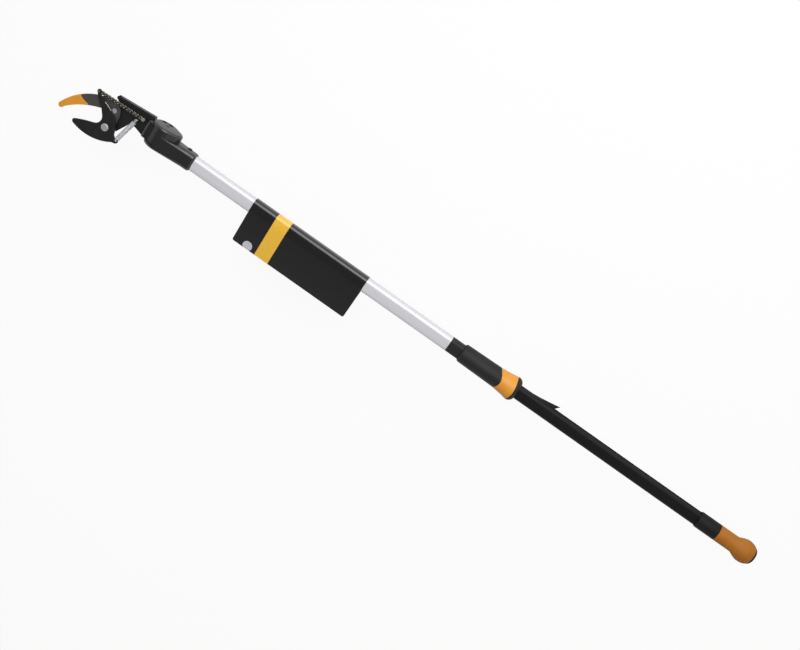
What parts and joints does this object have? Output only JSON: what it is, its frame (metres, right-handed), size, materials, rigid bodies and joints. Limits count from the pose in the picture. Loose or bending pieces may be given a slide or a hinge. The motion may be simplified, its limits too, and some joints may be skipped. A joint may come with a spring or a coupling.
{
  "type": "tree pruner pole",
  "caption": "Long-reach pruner: a pole with a ball handle and a sliding grip that pulls a strap and chain to shut a curved blade on a swivelling hook head.",
  "frame": {"origin": "centre of the flat butt face at the ball's end", "axes": "+X along the pole to the cutting head, +Y to the side the blade opens on, +Z from the hook plate to the blade"},
  "size_m": [1.5881, 0.1119, 0.054],
  "materials": {
    "alloy": "drawn and satin anodised",
    "black_tube": "smooth black fibre-reinforced tube",
    "black_plastic": "moulded black with a slight sheen",
    "orange_plastic": "moulded orange, satin",
    "soft_grip": "soft black grip",
    "frame_metal": "black coated casting",
    "hook_steel": "dark grey coated plate",
    "blade_steel": "black low-friction coating",
    "bright_steel": "plated",
    "dark_steel": "blackened",
    "webbing": "flat woven strap",
    "card": "printed card with a yellow end band"
  },
  "bodies": {
    "pole": {"upper_pole": "alloy", "pole_joint": "black_plastic", "lower_pole": "black_tube", "end_ferrule": "black_plastic", "ball_handle": "orange_plastic", "end_cap": "black_plastic", "housing_front": "black_plastic", "housing_back": "black_plastic", "housing_screws": "dark_steel", "pole_screw": "dark_steel", "swivel_screws": "dark_steel", "guide_roller": "bright_steel", "card_sleeve": "card", "drive_strap": "webbing"},
    "head": {"head_frame": "frame_metal", "hook_plate": "hook_steel", "hook_cover": "orange_plastic", "hook_screw": "bright_steel", "pivot_bolt": "bright_steel", "pivot_nut": "bright_steel", "spring_post": "bright_steel", "return_spring": "bright_steel", "hub_strap": "webbing"},
    "blade": {"blade": "blade_steel"},
    "chain": {"chain_outer_links": "dark_steel", "chain_inner_links": "bright_steel", "chain_rollers": "bright_steel", "chain_pins": "bright_steel"},
    "reel": {"reel": "black_plastic", "reel_shaft": "bright_steel"},
    "grip": {"grip_core": "orange_plastic", "grip_sleeve": "soft_grip", "grip_collar": "black_plastic", "strap_clamp": "black_plastic", "pull_strap": "webbing", "strap_tail": "webbing"}
  },
  "joints": [
    {"name": "head_swivel", "type": "hinge", "parent": "pole", "child": "head", "pos_m": [1.3823, 0, 0], "axis": [0, 1, 0], "range_deg": [-40, 40]},
    {"name": "grip_slide", "type": "slide", "parent": "pole", "child": "grip", "axis": [-1, 0, 0], "range_m": [0, 0.178], "deforming": ["drive_strap"]},
    {"name": "blade_pivot", "type": "hinge", "parent": "head", "child": "blade", "pos_m": [1.4857, 0.0429, 0], "axis": [0, 0, -1], "range_deg": [0, 36.5], "stiffness_Nm_per_rad": 2, "springref_deg": -17.19, "deforming": ["return_spring", "hub_strap"]},
    {"name": "chain_pin", "type": "hinge", "parent": "blade", "child": "chain", "pos_m": [1.5287, -0.0105, 0], "axis": [0, 0, -1], "range_deg": [-28, 0]},
    {"name": "reel_turn", "type": "hinge", "parent": "pole", "child": "reel", "pos_m": [1.3823, 0, 0], "axis": [0, -1, 0], "range_deg": [0, 560]}
  ],
  "couplings": [
    {"joint": "blade_pivot", "follows": "grip_slide", "rad_per_m": 3.5298},
    {"joint": "chain_pin", "follows": "grip_slide", "rad_per_m": -2.6577},
    {"joint": "reel_turn", "follows": "grip_slide", "rad_per_m": 54.35}
  ]
}
